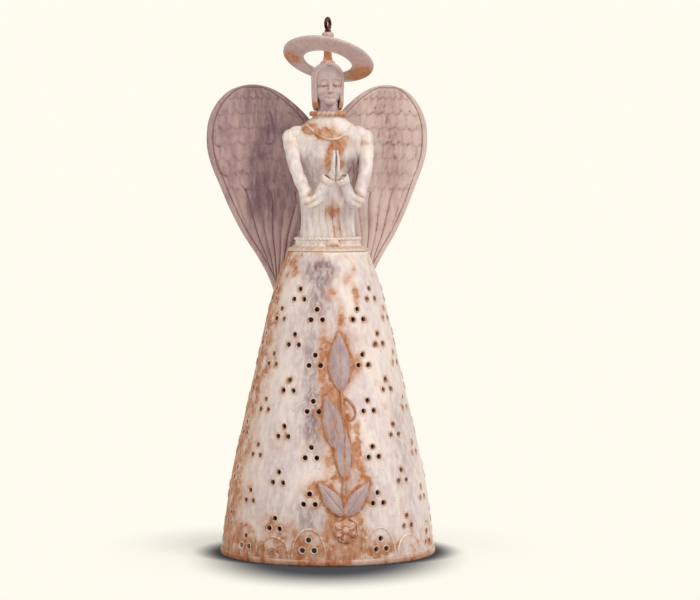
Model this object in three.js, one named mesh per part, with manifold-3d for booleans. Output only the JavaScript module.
// Angel bell ornament: a pierced sheet-metal skirt is the bell, and the angel stands on its crown.
// Millimetres, +Z up, the angel faces -Y, and the origin is the centre of the rim that it rests on.
import * as THREE from "three";
import { mergeVertices } from "three/addons/utils/BufferGeometryUtils.js";
import Module from "manifold-3d";

const wasm = await Module();
wasm.setup();

// Gaps that several pieces share
const seam = 0.2; // left between pieces that are soldered or clamped together
const running = 0.18; // radial, where a wire turns in a bore
const overrun = 2; // by which a cutter passes the faces that it cuts
const weld = 0.0005; // corners closer than this are one corner

// Skirt: the bell's wall, flaring from the crown down to the hem
const skirtHeight = 69.4;
const skirtRimRadius = 25;
const skirtTopRadius = 9.5;
const skirtWall = 0.8;
const skirtSides = 36;
const skirtFlareShares = [[0, 1], [0.225, 0.875], [0.87, 0.218], [1, 0]];

// Rolled hem under the skirt, on which everything rests
const hemHeight = 1.6;
const hemProud = 0.4;
const hemThickness = 1.6;
const hemRoll = 0.45;

// Punched holes of the skirt, in clusters of three that stand in staggered columns
const holeRadius = 0.8;
const holeSpacing = 2.7;
const holeSides = 4;
const columnCount = 18;
const clusterRows = 6;
const clusterPitch = 10.4;
const lowestClusterRise = 3.2;
const columnStagger = 4.6;

// Crown plate that closes the bell, and the band round the waist above it
const crownStep = 0.1;
const crownThickness = 0.8;
const waistBandHeight = 2.6;
const waistBandThickness = 0.8;

// Bodice: two half shells with a seam at the sides
const torsoHeight = 30.5;
const torsoHalfWidth = 8.4;
const torsoHalfDepth = 5.6;
const torsoWall = 0.8;
const torsoSides = 28;
const torsoShares = [
  [0, 0.86, 1], [0.1, 0.79, 0.9], [0.24, 0.75, 0.84], [0.4, 0.82, 0.9], [0.6, 0.93, 1],
  [0.76, 1, 0.98], [0.87, 0.97, 0.86], [0.94, 0.76, 0.72], [1, 0.44, 0.61],
];

// Head and neck, with a bore for the hanger wire
const headHeight = 13.5;
const headRadius = 4.5;
const headSides = 24;
const headShares = [
  [0, 0.74], [0.07, 0.62], [0.16, 0.57], [0.22, 0.7], [0.32, 0.87], [0.5, 0.99],
  [0.64, 1], [0.79, 0.91], [0.92, 0.67], [0.985, 0.38],
];
const noseRadius = 0.55;
const noseLengthShare = 2.1;
const noseHeightShare = 0.45;
const hairThickness = 0.25;
const hairBackShift = 0.3;
const hairHeightShare = 0.6;

// Collar ring round the foot of the neck
const collarPlay = 0.27;
const collarWidth = 0.9;
const collarHeight = 1.4;

// Halo: a flat ring with rolled edges, tipped back and to one side
const haloPlay = 1.2;
const haloWidth = 5.1;
const haloThickness = 0.9;
const haloRise = 0.7;
const haloSides = 32;
const haloTiltDegrees = 22;
const haloRollDegrees = 16;
const haloDrop = 0.4;
const clipRadius = 0.6;
const clipLength = 4.2;
const clipHeightShare = 0.5;

// Post and bead on top of the head
const postRadius = 1.1;
const postHeight = 4.6;
const beadProud = 0.35;
const beadHeight = 1.9;

// Hanger wire with an eye at each end, and its washer under the crown
const wireRadius = 0.5;
const wireSides = 10;
const loopSteps = 16;
const topEyeRadius = 1.25;
const topEyeWireRadius = 0.42;
const topEyeTurnDegrees = 58;
const lowerEyeRadius = 1.5;
const lowerEyeDrop = 3.2;
const washerRadius = 2.4;
const washerThickness = 0.8;

// Clapper: a wire that hangs from the lower eye, a ball and the tip that holds the ball on
const loopPlay = 0.05;
const clapperLength = 51;
const ballRadius = 5;
const tipRadius = 1.5;
const tipHeight = 1.3;

// Arms in prayer: shoulder, upper arm, elbow, forearm and wrist
const shoulderSpread = 8.9;
const shoulderHeightShare = 0.865;
const elbowSpread = 4.9;
const elbowReach = 8.4;
const elbowDrop = 15.9;
const wristSpread = 1.15;
const wristReach = 10.5;
const wristRise = 6.4;
const sleeveRadius = 1.85;
const armSides = 10;
const armSteps = 9;
const armRadiusShares = [0.55, 0.95, 1, 0.98, 0.92, 0.88, 0.84, 0.78, 0.7, 0.62];

// Hands, palm to palm
const handLength = 6;
const handWidth = 2.4;
const handThickness = 1.15;
const handSides = 10;
const handLeanDegrees = 6;
const handShares = [[0, 0.55], [0.18, 0.85], [0.42, 1], [0.72, 0.8], [0.92, 0.45], [1, 0.2]];

// Wings: two sheet plates swept back from a bracket on the angel's back
const wingSpan = 27.9;
const wingHeight = 50.8;
const wingSeatShare = 0.66;
const wingThickness = 0.7;
const wingSweepDegrees = 16;
const wingCurveSteps = 2;
const wingRootShares = [[0.03, 0.75], [0.03, 0.45], [0.17, 0.3]];
const wingTipShares = [0.405, 0];
const wingEdgeShares = [
  [0.47, 0.1], [0.57, 0.2], [0.69, 0.3], [0.8, 0.415], [0.89, 0.53], [0.965, 0.63],
  [1, 0.72], [0.99, 0.82], [0.93, 0.9], [0.83, 0.965], [0.69, 1], [0.53, 1],
  [0.4, 0.975], [0.28, 0.925], [0.16, 0.865], [0.07, 0.8],
];

// Bracket and rivets that hold the wings
const bracketThickness = 0.7;
const bracketWidth = 5.6;
const bracketHeight = 15;
const bracketHeightShare = 0.45;
const rivetRadius = 0.4;
const rivetHeadRadius = 0.85;
const rivetHeadHeight = 0.5;
const rivetSides = 10;
const rivetOffsetShare = 0.66;
const rivetPitchShare = 0.6;

// Relief pieces soldered on the front of the skirt
const vineThickness = 0.4;
const vineTopRise = 51.4;
const dropLength = 13.5;
const dropHalfWidth = 2.6;
const stemHalfWidth = 0.75;
const leafLength = 14.2;
const leafHalfWidth = 2.5;
const leafRise = 23.4;
const leafLeanDegrees = 15;
const bladeLength = 13.8;
const bladeHalfWidth = 1.9;
const bladeRise = 18;
const lowerLeafLength = 9.6;
const lowerLeafHalfWidth = 1.9;
const lowerLeafLeanDegrees = 38;
const rosetteRadius = 2.9;
const rosetteBossRadius = 1;
const rosetteThickness = 0.65;
const rosetteRise = 6.7;
const petalCount = 6;
const petalDepthShare = 0.18;
const petalSteps = 4;

// Sizes that follow from the ones above
const hemOuterRadius = skirtRimRadius + hemProud;
const crownRadius = skirtTopRadius - crownStep;
const collarInnerRadius = headShares[0][1] * headRadius + collarPlay;
const haloInnerRadius = headRadius + haloPlay;
const haloOuterRadius = haloInnerRadius + haloWidth;
const beadRadius = postRadius + beadProud;
const rivetOffset = rivetOffsetShare * bracketWidth;
const rivetPitch = rivetPitchShare * bracketHeight;
const crownBottom = hemHeight + skirtHeight;
const crownTop = crownBottom + crownThickness;
const neckFoot = crownTop + torsoHeight;
const headTop = neckFoot + headHeight;
const postTop = headTop + postHeight;
const beadTop = postTop + beadHeight;
const boreRadius = wireRadius + running;
const topEyeHeight = beadTop + seam + topEyeWireRadius + topEyeRadius;
const washerTop = crownBottom - seam;
const lowerEyeHeight = washerTop - washerThickness - lowerEyeDrop;
const clapperPivot = lowerEyeHeight - lowerEyeRadius;
const clapperLoopHeight = clapperPivot + 2 * wireRadius + loopPlay - lowerEyeRadius;
const ballHeight = clapperPivot - clapperLength;
const tipTop = ballHeight - ballRadius - seam;
const bracketMiddle = crownTop + bracketHeightShare * torsoHeight + bracketHeight / 2;
const wingFoot = bracketMiddle - wingSeatShare * wingHeight;
const frontReach = 2 * hemOuterRadius;

// Finishes
const finish = (color, roughness, metalness) =>
  new THREE.MeshStandardMaterial({ color, roughness, metalness });
const creamPaint = () => finish(0xdccfc9, 0.6, 0.15);
const wornPaint = () => finish(0xc9a58c, 0.65, 0.2);
const greyPaint = () => finish(0xb8a0a0, 0.6, 0.15);
const rustPaint = () => finish(0xb4683c, 0.75, 0.2);
const darkWire = () => finish(0x3a2020, 0.5, 0.6);
const steel = () => finish(0x8a8078, 0.45, 0.7);

// The solid inside a closed geometry: equal corners are merged and flat slivers dropped.
function solidOf(geometry) {
  const bare = geometry.index ? geometry.toNonIndexed() : geometry.clone();
  bare.deleteAttribute("normal");
  bare.deleteAttribute("uv");
  const merged = mergeVertices(bare, weld);
  const corners = [];
  for (let i = 0; i < merged.index.count; i += 3) {
    const [a, b, c] = merged.index.array.slice(i, i + 3);
    if (a !== b && b !== c && c !== a) corners.push(a, b, c);
  }
  const vertProperties = merged.attributes.position.array;
  const triVerts = new Uint32Array(corners);
  return new wasm.Manifold(new wasm.Mesh({ numProp: 3, vertProperties, triVerts }));
}

// A geometry from a solid, for its mesh.
function geometryOf(solid) {
  const mesh = solid.getMesh();
  const geometry = new THREE.BufferGeometry();
  geometry.setAttribute("position", new THREE.BufferAttribute(mesh.vertProperties, 3));
  geometry.setIndex(new THREE.BufferAttribute(mesh.triVerts, 1));
  geometry.computeVertexNormals();
  return geometry;
}

// A mesh named after the piece, from a solid or a geometry.
function piece(name, shape, material) {
  const geometry = shape.isBufferGeometry ? shape : geometryOf(shape);
  const mesh = new THREE.Mesh(geometry, material);
  mesh.name = name;
  return mesh;
}

// A round solid about Z from [radius, height] corners, listed from the bottom up its outside.
function turned(corners, sides) {
  const profile = corners.map(([radius, height]) => new THREE.Vector2(radius, height));
  return solidOf(new THREE.LatheGeometry(profile, sides).rotateX(Math.PI / 2));
}

// A turned ring: the corners close on the first one.
const turnedRing = (corners, sides) => turned([...corners, corners[0]], sides);

// A solid between two heights, with level faces and round walls.
const tubeRing = (inner, outer, bottom, top, sides) =>
  turnedRing([[inner, bottom], [outer, bottom], [outer, top], [inner, top]], sides);

// A solid skinned over rings of points that all have the same count, with a fan at each end.
function skinned(rings) {
  const count = rings[0].length;
  const points = rings.flat();
  const corners = [];
  for (let ring = 0; ring + 1 < rings.length; ring += 1) {
    for (let i = 0; i < count; i += 1) {
      const next = (i + 1) % count;
      const [a, b] = [ring * count + i, ring * count + next];
      corners.push(a, b, b + count, a, b + count, a + count);
    }
  }
  const last = points.length - count;
  for (let i = 1; i + 1 < count; i += 1) {
    corners.push(0, i + 1, i, last, last + i, last + i + 1);
  }
  const geometry = new THREE.BufferGeometry().setFromPoints(points);
  geometry.setIndex(corners);
  return solidOf(geometry);
}

// A level ellipse of points at a height, anticlockwise seen from above.
function ellipseRing(halfWidth, halfDepth, height, sides) {
  return Array.from({ length: sides }, (_, i) => {
    const angle = (i / sides) * 2 * Math.PI;
    return new THREE.Vector3(halfWidth * Math.cos(angle), halfDepth * Math.sin(angle), height);
  });
}

// A round limb through the points, with its own radius at each of them.
function limb(points, radii, sides) {
  const rings = points.map((point, i) => {
    const before = points[Math.max(i - 1, 0)];
    const after = points[Math.min(i + 1, points.length - 1)];
    const along = after.clone().sub(before).normalize();
    const side = new THREE.Vector3(0, 0, 1).cross(along);
    if (side.lengthSq() < weld) side.set(1, 0, 0);
    side.normalize();
    const up = along.clone().cross(side);
    return Array.from({ length: sides }, (_, k) => {
      const angle = (k / sides) * 2 * Math.PI;
      const offset = side.clone().multiplyScalar(radii[i] * Math.cos(angle));
      return point.clone().add(offset).addScaledVector(up, radii[i] * Math.sin(angle));
    });
  });
  return skinned(rings);
}

// A level slab across the whole part, from one height to another.
function slab(bottom, top) {
  const box = new THREE.BoxGeometry(frontReach, frontReach, top - bottom);
  return solidOf(box.translate(0, 0, (bottom + top) / 2));
}

// Outer radius of the skirt at a height above the floor.
function skirtRadius(height) {
  const rise = (height - hemHeight) / skirtHeight;
  const upper = Math.max(1, skirtFlareShares.findIndex(([share]) => share >= rise));
  const [lowShare, lowFlare] = skirtFlareShares[upper - 1];
  const [highShare, highFlare] = skirtFlareShares[upper];
  const flare = THREE.MathUtils.mapLinear(rise, lowShare, highShare, lowFlare, highFlare);
  return THREE.MathUtils.lerp(skirtTopRadius, skirtRimRadius, flare);
}

// The skirt's surface moved out by one distance and in to another, as a closed skin.
function skirtSkin(inward, outward) {
  const heights = skirtFlareShares.map(([share]) => hemHeight + share * skirtHeight);
  const outside = heights.map((height) => [skirtRadius(height) + outward, height]);
  const inside = heights.map((height) => [skirtRadius(height) + inward, height]).reverse();
  return turnedRing([...outside, ...inside], skirtSides);
}

// One punch: a square nail, corner up, that points straight out from the axis.
function punch(turn, sideways, height) {
  const length = 2 * (skirtWall + overrun);
  const bar = new THREE.CylinderGeometry(holeRadius, holeRadius, length, holeSides);
  bar.translate(sideways, -skirtRadius(height), 0).rotateZ(turn);
  return solidOf(bar.translate(0, 0, height));
}

// The punches of one cluster: one hole above two.
function clusterPunches(turn, height) {
  const rise = (holeSpacing * Math.sqrt(3)) / 2;
  return [
    punch(turn, 0, height + rise / 2),
    punch(turn, -holeSpacing / 2, height - rise / 2),
    punch(turn, holeSpacing / 2, height - rise / 2),
  ];
}

// All punches: the front column stays bare for the vine.
function skirtPunches() {
  const punches = [];
  for (let column = 1; column < columnCount; column += 1) {
    const turn = (column / columnCount) * 2 * Math.PI;
    const shift = column % 2 ? 0 : columnStagger;
    for (let row = 0; row < clusterRows; row += 1) {
      const height = hemHeight + lowestClusterRise + shift + row * clusterPitch;
      punches.push(...clusterPunches(turn, height));
    }
  }
  return punches;
}

// Hem: a ring with rolled corners and a level foot.
function hemRing() {
  const inner = hemOuterRadius - hemThickness;
  return turnedRing([
    [inner + hemRoll, 0], [hemOuterRadius - hemRoll, 0],
    [hemOuterRadius, hemRoll], [hemOuterRadius, hemHeight - hemRoll],
    [hemOuterRadius - hemRoll, hemHeight], [inner, hemHeight], [inner, hemRoll],
  ], skirtSides);
}

// The bodice's outside moved out by a distance, and drawn straight on past its ends by another.
function torsoForm(outward, past) {
  const ringAt = ([rise, width, depth], beyond) => ellipseRing(
    width * torsoHalfWidth + outward, depth * torsoHalfDepth + outward,
    crownTop + rise * torsoHeight + beyond, torsoSides);
  const rings = torsoShares.map((shares) => ringAt(shares, 0));
  if (past > 0) {
    rings.unshift(ringAt(torsoShares[0], -past));
    rings.push(ringAt(torsoShares[torsoShares.length - 1], past));
  }
  return skinned(rings);
}

// One half of the bodice: forward is -1 for the front and 1 for the back.
function bodiceHalf(forward) {
  const shell = torsoForm(0, 0).subtract(torsoForm(-torsoWall, overrun));
  const half = new THREE.BoxGeometry(frontReach, frontReach, frontReach);
  half.translate(0, (forward * (frontReach + seam)) / 2, (crownTop + neckFoot) / 2);
  return shell.intersect(solidOf(half));
}

// Band round the waist, over the foot of the bodice.
function waistBand() {
  const outside = torsoForm(seam + waistBandThickness, 0);
  const band = outside.intersect(slab(crownTop, crownTop + waistBandHeight));
  return band.subtract(torsoForm(seam, overrun));
}

// Head with its neck, bored from end to end, with a nose and hair that is drawn back.
function head() {
  const outside = headShares.map(([rise, width]) => [width * headRadius, neckFoot + rise * headHeight]);
  const skull = turned([[0, neckFoot], ...outside, [0, headTop]], headSides);
  const nose = new THREE.SphereGeometry(noseRadius, wireSides, wireSides);
  nose.scale(1, 1, noseLengthShare);
  nose.translate(0, -headRadius, neckFoot + noseHeightShare * headHeight);
  const hair = new THREE.SphereGeometry(headRadius + hairThickness, headSides, headSides / 2);
  hair.rotateX(Math.PI / 2);
  hair.translate(0, hairBackShift, neckFoot + hairHeightShare * headHeight);
  const hairTrim = slab(neckFoot, headTop - seam);
  const full = skull.add(solidOf(nose)).add(solidOf(hair).intersect(hairTrim));
  return full.subtract(turned(boreCorners(neckFoot, headTop), wireSides * 2));
}

// Corners of a bore's cutter between two heights.
function boreCorners(bottom, top) {
  const [low, high] = [bottom - overrun, top + overrun];
  return [[0, low], [boreRadius, low], [boreRadius, high], [0, high]];
}

// Collar: a rounded ring round the foot of the neck.
function collar() {
  const outer = collarInnerRadius + collarWidth;
  const bottom = neckFoot + seam;
  const top = bottom + collarHeight;
  const middle = (bottom + top) / 2;
  return turnedRing([
    [collarInnerRadius, bottom], [outer - collarWidth / 3, bottom], [outer, middle],
    [outer - collarWidth / 3, top], [collarInnerRadius, top],
  ], headSides);
}

// Halo ring in its own level frame, centred on its axis.
function haloRing() {
  const half = haloThickness / 2;
  const middle = (haloInnerRadius + haloOuterRadius) / 2;
  return turnedRing([
    [haloInnerRadius, -half], [middle, -half], [haloOuterRadius, haloRise - half],
    [haloOuterRadius, haloRise + half], [middle, half], [haloInnerRadius, half],
  ], haloSides);
}

// Clip that rises behind the head and carries the halo's back edge.
function haloClip() {
  const back = headRadius + hairThickness + hairBackShift + clipRadius + seam;
  const foot = neckFoot + clipHeightShare * headHeight;
  const tilt = THREE.MathUtils.degToRad(haloTiltDegrees);
  const seat = haloInnerRadius + clipRadius;
  const reach = Math.max(back, seat * Math.cos(tilt));
  const underside = haloThickness / 2 + clipRadius + seam;
  const top = headTop - haloDrop - reach * Math.tan(tilt) - underside / Math.cos(tilt);
  return limb([
    new THREE.Vector3(0, back, Math.min(foot, top - clipLength)),
    new THREE.Vector3(0, back, top - clipLength / 2),
    new THREE.Vector3(0, reach, top),
  ], [clipRadius, clipRadius, clipRadius], wireSides);
}

// Bead with a bore, on top of the post.
function crownBead() {
  const bulge = beadHeight / 4;
  return turnedRing([
    [boreRadius, postTop], [postRadius, postTop], [beadRadius, postTop + bulge],
    [beadRadius, beadTop - bulge], [postRadius, beadTop], [boreRadius, beadTop],
  ], wireSides * 2);
}

// A wire loop in the XZ plane, centred at a height.
function loop(radius, wire, height) {
  const ring = new THREE.TorusGeometry(radius, wire, wireSides, loopSteps);
  return solidOf(ring.rotateX(Math.PI / 2).translate(0, 0, height));
}

// A straight wire on the axis.
const straightWire = (bottom, top) =>
  turned([[0, bottom], [wireRadius, bottom], [wireRadius, top], [0, top]], wireSides);

// Hanger: the lower eye, the wire through the whole angel and the top eye.
function hangerWire() {
  const lowerEye = loop(lowerEyeRadius, wireRadius, lowerEyeHeight);
  const topEye = loop(topEyeRadius, topEyeWireRadius, topEyeHeight);
  const wire = straightWire(lowerEyeHeight + lowerEyeRadius, topEyeHeight - topEyeRadius);
  return wire.add(lowerEye).add(topEye.rotate([0, 0, topEyeTurnDegrees]));
}

// Clapper wire: its loop hangs through the lower eye, and its shank runs through the ball.
function clapperWire() {
  const topLoop = loop(lowerEyeRadius, wireRadius, clapperLoopHeight).rotate([0, 0, 90]);
  return topLoop.add(straightWire(tipTop, clapperLoopHeight - lowerEyeRadius));
}

// Ball with a bore for the clapper wire.
function clapperBall() {
  const ball = new THREE.SphereGeometry(ballRadius, 2 * wireSides, wireSides);
  const placed = solidOf(ball.rotateX(Math.PI / 2).translate(0, 0, ballHeight));
  const bore = boreCorners(ballHeight - ballRadius, ballHeight + ballRadius);
  return placed.subtract(turned(bore, wireSides * 2));
}

// Tip crimped under the ball.
function clapperTip() {
  const bottom = tipTop - tipHeight;
  const shoulder = tipTop - tipHeight / 2;
  return turned([
    [0, bottom], [wireRadius, bottom], [tipRadius, shoulder], [tipRadius, tipTop], [0, tipTop],
  ], wireSides * 2);
}

// Centre line of one arm: side is 1 for the angel's left arm and -1 for its right.
function armLine(side) {
  const shoulderHeight = crownTop + shoulderHeightShare * torsoHeight;
  const elbowHeight = shoulderHeight - elbowDrop;
  const shoulder = new THREE.Vector3(side * shoulderSpread, 0, shoulderHeight);
  const elbow = new THREE.Vector3(side * elbowSpread, -elbowReach, elbowHeight);
  const wrist = new THREE.Vector3(side * wristSpread, -wristReach, elbowHeight + wristRise);
  const upperArm = shoulder.clone().lerp(elbow, 0.5);
  upperArm.x += (side * sleeveRadius) / 2;
  const cap = shoulder.clone().setZ(shoulderHeight + sleeveRadius / 2);
  const forearm = elbow.clone().lerp(wrist, 0.5);
  return new THREE.CatmullRomCurve3([cap, shoulder, upperArm, elbow, forearm, wrist]);
}

// One arm, cut to seat on the shoulder.
function arm(side) {
  const radii = armRadiusShares.map((share) => share * sleeveRadius);
  const whole = limb(armLine(side).getPoints(armSteps), radii, armSides);
  return whole.subtract(torsoForm(seam, overrun));
}

// One hand with a flat palm on the mid plane, over its wrist.
function hand(side) {
  const whole = skinned(handShares.map(([rise, share]) =>
    ellipseRing(share * handThickness, (share * handWidth) / 2, rise * handLength, handSides)));
  const sideBox = new THREE.BoxGeometry(frontReach, frontReach, frontReach);
  sideBox.translate((side * (frontReach + seam)) / 2, 0, 0);
  const half = whole.intersect(solidOf(sideBox)).rotate([handLeanDegrees, 0, 0]);
  const wristHeight = crownTop + shoulderHeightShare * torsoHeight - elbowDrop + wristRise;
  return half.translate([0, -wristReach, wristHeight + seam]);
}

// The outline of one wing in its own plane, from its root to the right.
function wingShape(side) {
  const place = ([along, up]) => new THREE.Vector2(side * along * wingSpan, up * wingHeight);
  const shape = new THREE.Shape();
  const [first, ...rootRest] = wingRootShares.map(place);
  shape.moveTo(first.x, first.y);
  [...rootRest, place(wingTipShares)].forEach((point) => shape.lineTo(point.x, point.y));
  shape.splineThru(wingEdgeShares.map(place));
  return shape;
}

// Heights of the lower and the upper rivet.
const rivetHeights = () => [bracketMiddle - rivetPitch / 2, bracketMiddle + rivetPitch / 2];

// A plate that stands in the XZ plane, with its front face at y = 0.
function standingPlate(shape, thickness, steps) {
  const options = { depth: thickness, bevelEnabled: false, curveSegments: steps };
  const plate = new THREE.ExtrudeGeometry(shape, options);
  return solidOf(plate.rotateX(Math.PI / 2).translate(0, thickness, 0));
}

// A bar along Y that bores one rivet's hole.
function rivetDrill(side, height) {
  const radius = rivetRadius + seam;
  const drill = new THREE.CylinderGeometry(radius, radius, 2 * (wingThickness + overrun), rivetSides);
  return solidOf(drill.translate(side * rivetOffset, 0, height));
}

// The place of a wing's own frame on the back: its origin on the mid plane, swept back.
function placeOnBack(solid, side) {
  const back = torsoHalfDepth + seam + bracketThickness + seam;
  return solid.rotate([0, 0, side * wingSweepDegrees]).translate([0, back, 0]);
}

// One wing with its two rivet holes.
function wing(side) {
  const plate = standingPlate(wingShape(side), wingThickness, wingCurveSteps).translate([0, 0, wingFoot]);
  const drilled = rivetHeights().reduce((left, height) => left.subtract(rivetDrill(side, height)), plate);
  return placeOnBack(drilled, side);
}

// Bracket: two flaps that lie in front of the wings and meet at the spine.
function wingBracket() {
  const flaps = [-1, 1].map((side) => {
    const flap = new THREE.BoxGeometry(bracketWidth + bracketThickness, bracketThickness, bracketHeight);
    const middle = (side * (bracketWidth - bracketThickness)) / 2;
    flap.translate(middle, -(seam + bracketThickness / 2), bracketMiddle);
    const drilled = rivetHeights().reduce(
      (left, height) => left.subtract(rivetDrill(side, height)), solidOf(flap));
    return placeOnBack(drilled, side);
  });
  const joined = flaps[0].add(flaps[1]);
  return joined.subtract(torsoForm(seam, overrun));
}

// Rivet through one wing and its flap, with a head at each end.
function rivet(side, height) {
  const rear = wingThickness + seam / 2;
  const front = -(seam + bracketThickness + seam / 2);
  const profile = [
    [0, front - rivetHeadHeight], [rivetHeadRadius * 0.7, front - rivetHeadHeight],
    [rivetHeadRadius, front], [rivetRadius, front], [rivetRadius, rear],
    [rivetHeadRadius, rear], [rivetHeadRadius * 0.7, rear + rivetHeadHeight], [0, rear + rivetHeadHeight],
  ];
  const upright = turned(profile, rivetSides);
  const lying = upright.rotate([-90, 0, 0]).translate([side * rivetOffset, 0, height]);
  return placeOnBack(lying, side);
}

// A shape cut out of the skirt's skin on its front, standing proud by a thickness.
function frontRelief(shape, thickness, rise) {
  const depth = hemOuterRadius + overrun;
  const prism = new THREE.ExtrudeGeometry(shape, { depth, bevelEnabled: false, curveSegments: petalSteps });
  const cutter = solidOf(prism.rotateX(Math.PI / 2)).translate([0, 0, hemHeight + rise]);
  return skirtSkin(seam / 2, seam / 2 + thickness).intersect(cutter);
}

// A leaf outline with its foot at the origin and its tip up.
function leafShape(length, halfWidth) {
  const shape = new THREE.Shape();
  shape.moveTo(0, 0);
  shape.quadraticCurveTo(halfWidth * 2, length / 3, 0, length);
  shape.quadraticCurveTo(-halfWidth * 2, length / 3, 0, 0);
  return shape;
}

// One leaf of the vine, with its foot on the stem at a rise; a positive lean is to the angel's right.
function vineLeaf(length, halfWidth, rise, leanDegrees) {
  const outline = leafShape(length, halfWidth).getPoints(petalSteps);
  const lean = THREE.MathUtils.degToRad(leanDegrees);
  const leaning = outline.map((point) => point.rotateAround(new THREE.Vector2(), lean));
  return frontRelief(new THREE.Shape(leaning), vineThickness, rise);
}

// Vine: a drop at the top, a stem down to the rosette, a blade on the stem and three leaning leaves.
function vine() {
  const dropFoot = vineTopRise - dropLength;
  const stemFoot = rosetteRise + rosetteRadius + seam;
  const stemLength = dropFoot + stemHalfWidth * 2 - stemFoot;
  const stem = new THREE.Shape();
  stem.moveTo(-stemHalfWidth, 0);
  stem.lineTo(stemHalfWidth, 0);
  stem.lineTo(stemHalfWidth / 2, stemLength);
  stem.lineTo(-stemHalfWidth / 2, stemLength);
  return wasm.Manifold.union([
    frontRelief(stem, vineThickness, stemFoot),
    vineLeaf(dropLength, dropHalfWidth, dropFoot, 0),
    vineLeaf(leafLength, leafHalfWidth, leafRise, leafLeanDegrees),
    vineLeaf(bladeLength, bladeHalfWidth, bladeRise, 0),
    vineLeaf(lowerLeafLength, lowerLeafHalfWidth, stemFoot, lowerLeafLeanDegrees),
    vineLeaf(lowerLeafLength, lowerLeafHalfWidth, stemFoot, -lowerLeafLeanDegrees),
  ]);
}

// Rosette at the foot of the vine: petals round a raised boss.
function rosette() {
  const steps = petalCount * petalSteps;
  const outline = Array.from({ length: steps }, (_, i) => {
    const angle = (i / steps) * 2 * Math.PI;
    const radius = rosetteRadius * (1 - petalDepthShare * (1 - Math.cos(petalCount * angle)) / 2);
    return new THREE.Vector2(radius * Math.cos(angle), radius * Math.sin(angle));
  });
  const petals = frontRelief(new THREE.Shape(outline), vineThickness, rosetteRise);
  const bossShape = new THREE.Shape();
  bossShape.absarc(0, 0, rosetteBossRadius, 0, 2 * Math.PI, false);
  return petals.add(frontRelief(bossShape, rosetteThickness, rosetteRise));
}

const ornament = new THREE.Group();

// Bell
const skirt = skirtSkin(-skirtWall, 0).subtract(wasm.Manifold.union(skirtPunches()));
ornament.add(piece("hem_ring", hemRing(), rustPaint()));
ornament.add(piece("skirt_shell", skirt, creamPaint()));
ornament.add(piece("crown_plate",
  tubeRing(boreRadius, crownRadius, crownBottom, crownTop, skirtSides), wornPaint()));
ornament.add(piece("vine_relief", vine(), wornPaint()));
ornament.add(piece("front_rosette", rosette(), wornPaint()));

// Angel
ornament.add(piece("waist_band", waistBand(), creamPaint()));
ornament.add(piece("bodice_front", bodiceHalf(-1), creamPaint()));
ornament.add(piece("bodice_back", bodiceHalf(1), creamPaint()));
ornament.add(piece("neck_collar", collar(), wornPaint()));
ornament.add(piece("head", head(), creamPaint()));
for (const [name, side] of [["left", 1], ["right", -1]]) {
  ornament.add(piece("arm_" + name, arm(side), creamPaint()));
  ornament.add(piece("hand_" + name, hand(side), creamPaint()));
  ornament.add(piece("wing_" + name, wing(side), greyPaint()));
  rivetHeights().forEach((height, i) => {
    ornament.add(piece(`wing_rivet_${name}_${i ? "upper" : "lower"}`, rivet(side, height), steel()));
  });
}
ornament.add(piece("wing_bracket", wingBracket(), wornPaint()));

// Halo, with the post and bead that the wire passes through
const halo = piece("halo_ring", haloRing(), greyPaint());
halo.position.z = headTop - haloDrop;
halo.rotation.set(
  THREE.MathUtils.degToRad(-haloTiltDegrees), THREE.MathUtils.degToRad(haloRollDegrees), 0, "YXZ");
ornament.add(halo);
ornament.add(piece("halo_clip", haloClip(), wornPaint()));
ornament.add(piece("crown_post",
  tubeRing(boreRadius, postRadius, headTop, postTop, wireSides * 2), rustPaint()));
ornament.add(piece("crown_bead", crownBead(), greyPaint()));

// Hanger and clapper
ornament.add(piece("hanger_wire", hangerWire(), darkWire()));
ornament.add(piece("hanger_washer",
  tubeRing(boreRadius, washerRadius, washerTop - washerThickness, washerTop, wireSides * 2), steel()));
ornament.add(piece("clapper_wire", clapperWire(), darkWire()));
ornament.add(piece("clapper_ball", clapperBall(), steel()));
ornament.add(piece("clapper_tip", clapperTip(), steel()));

export default ornament;
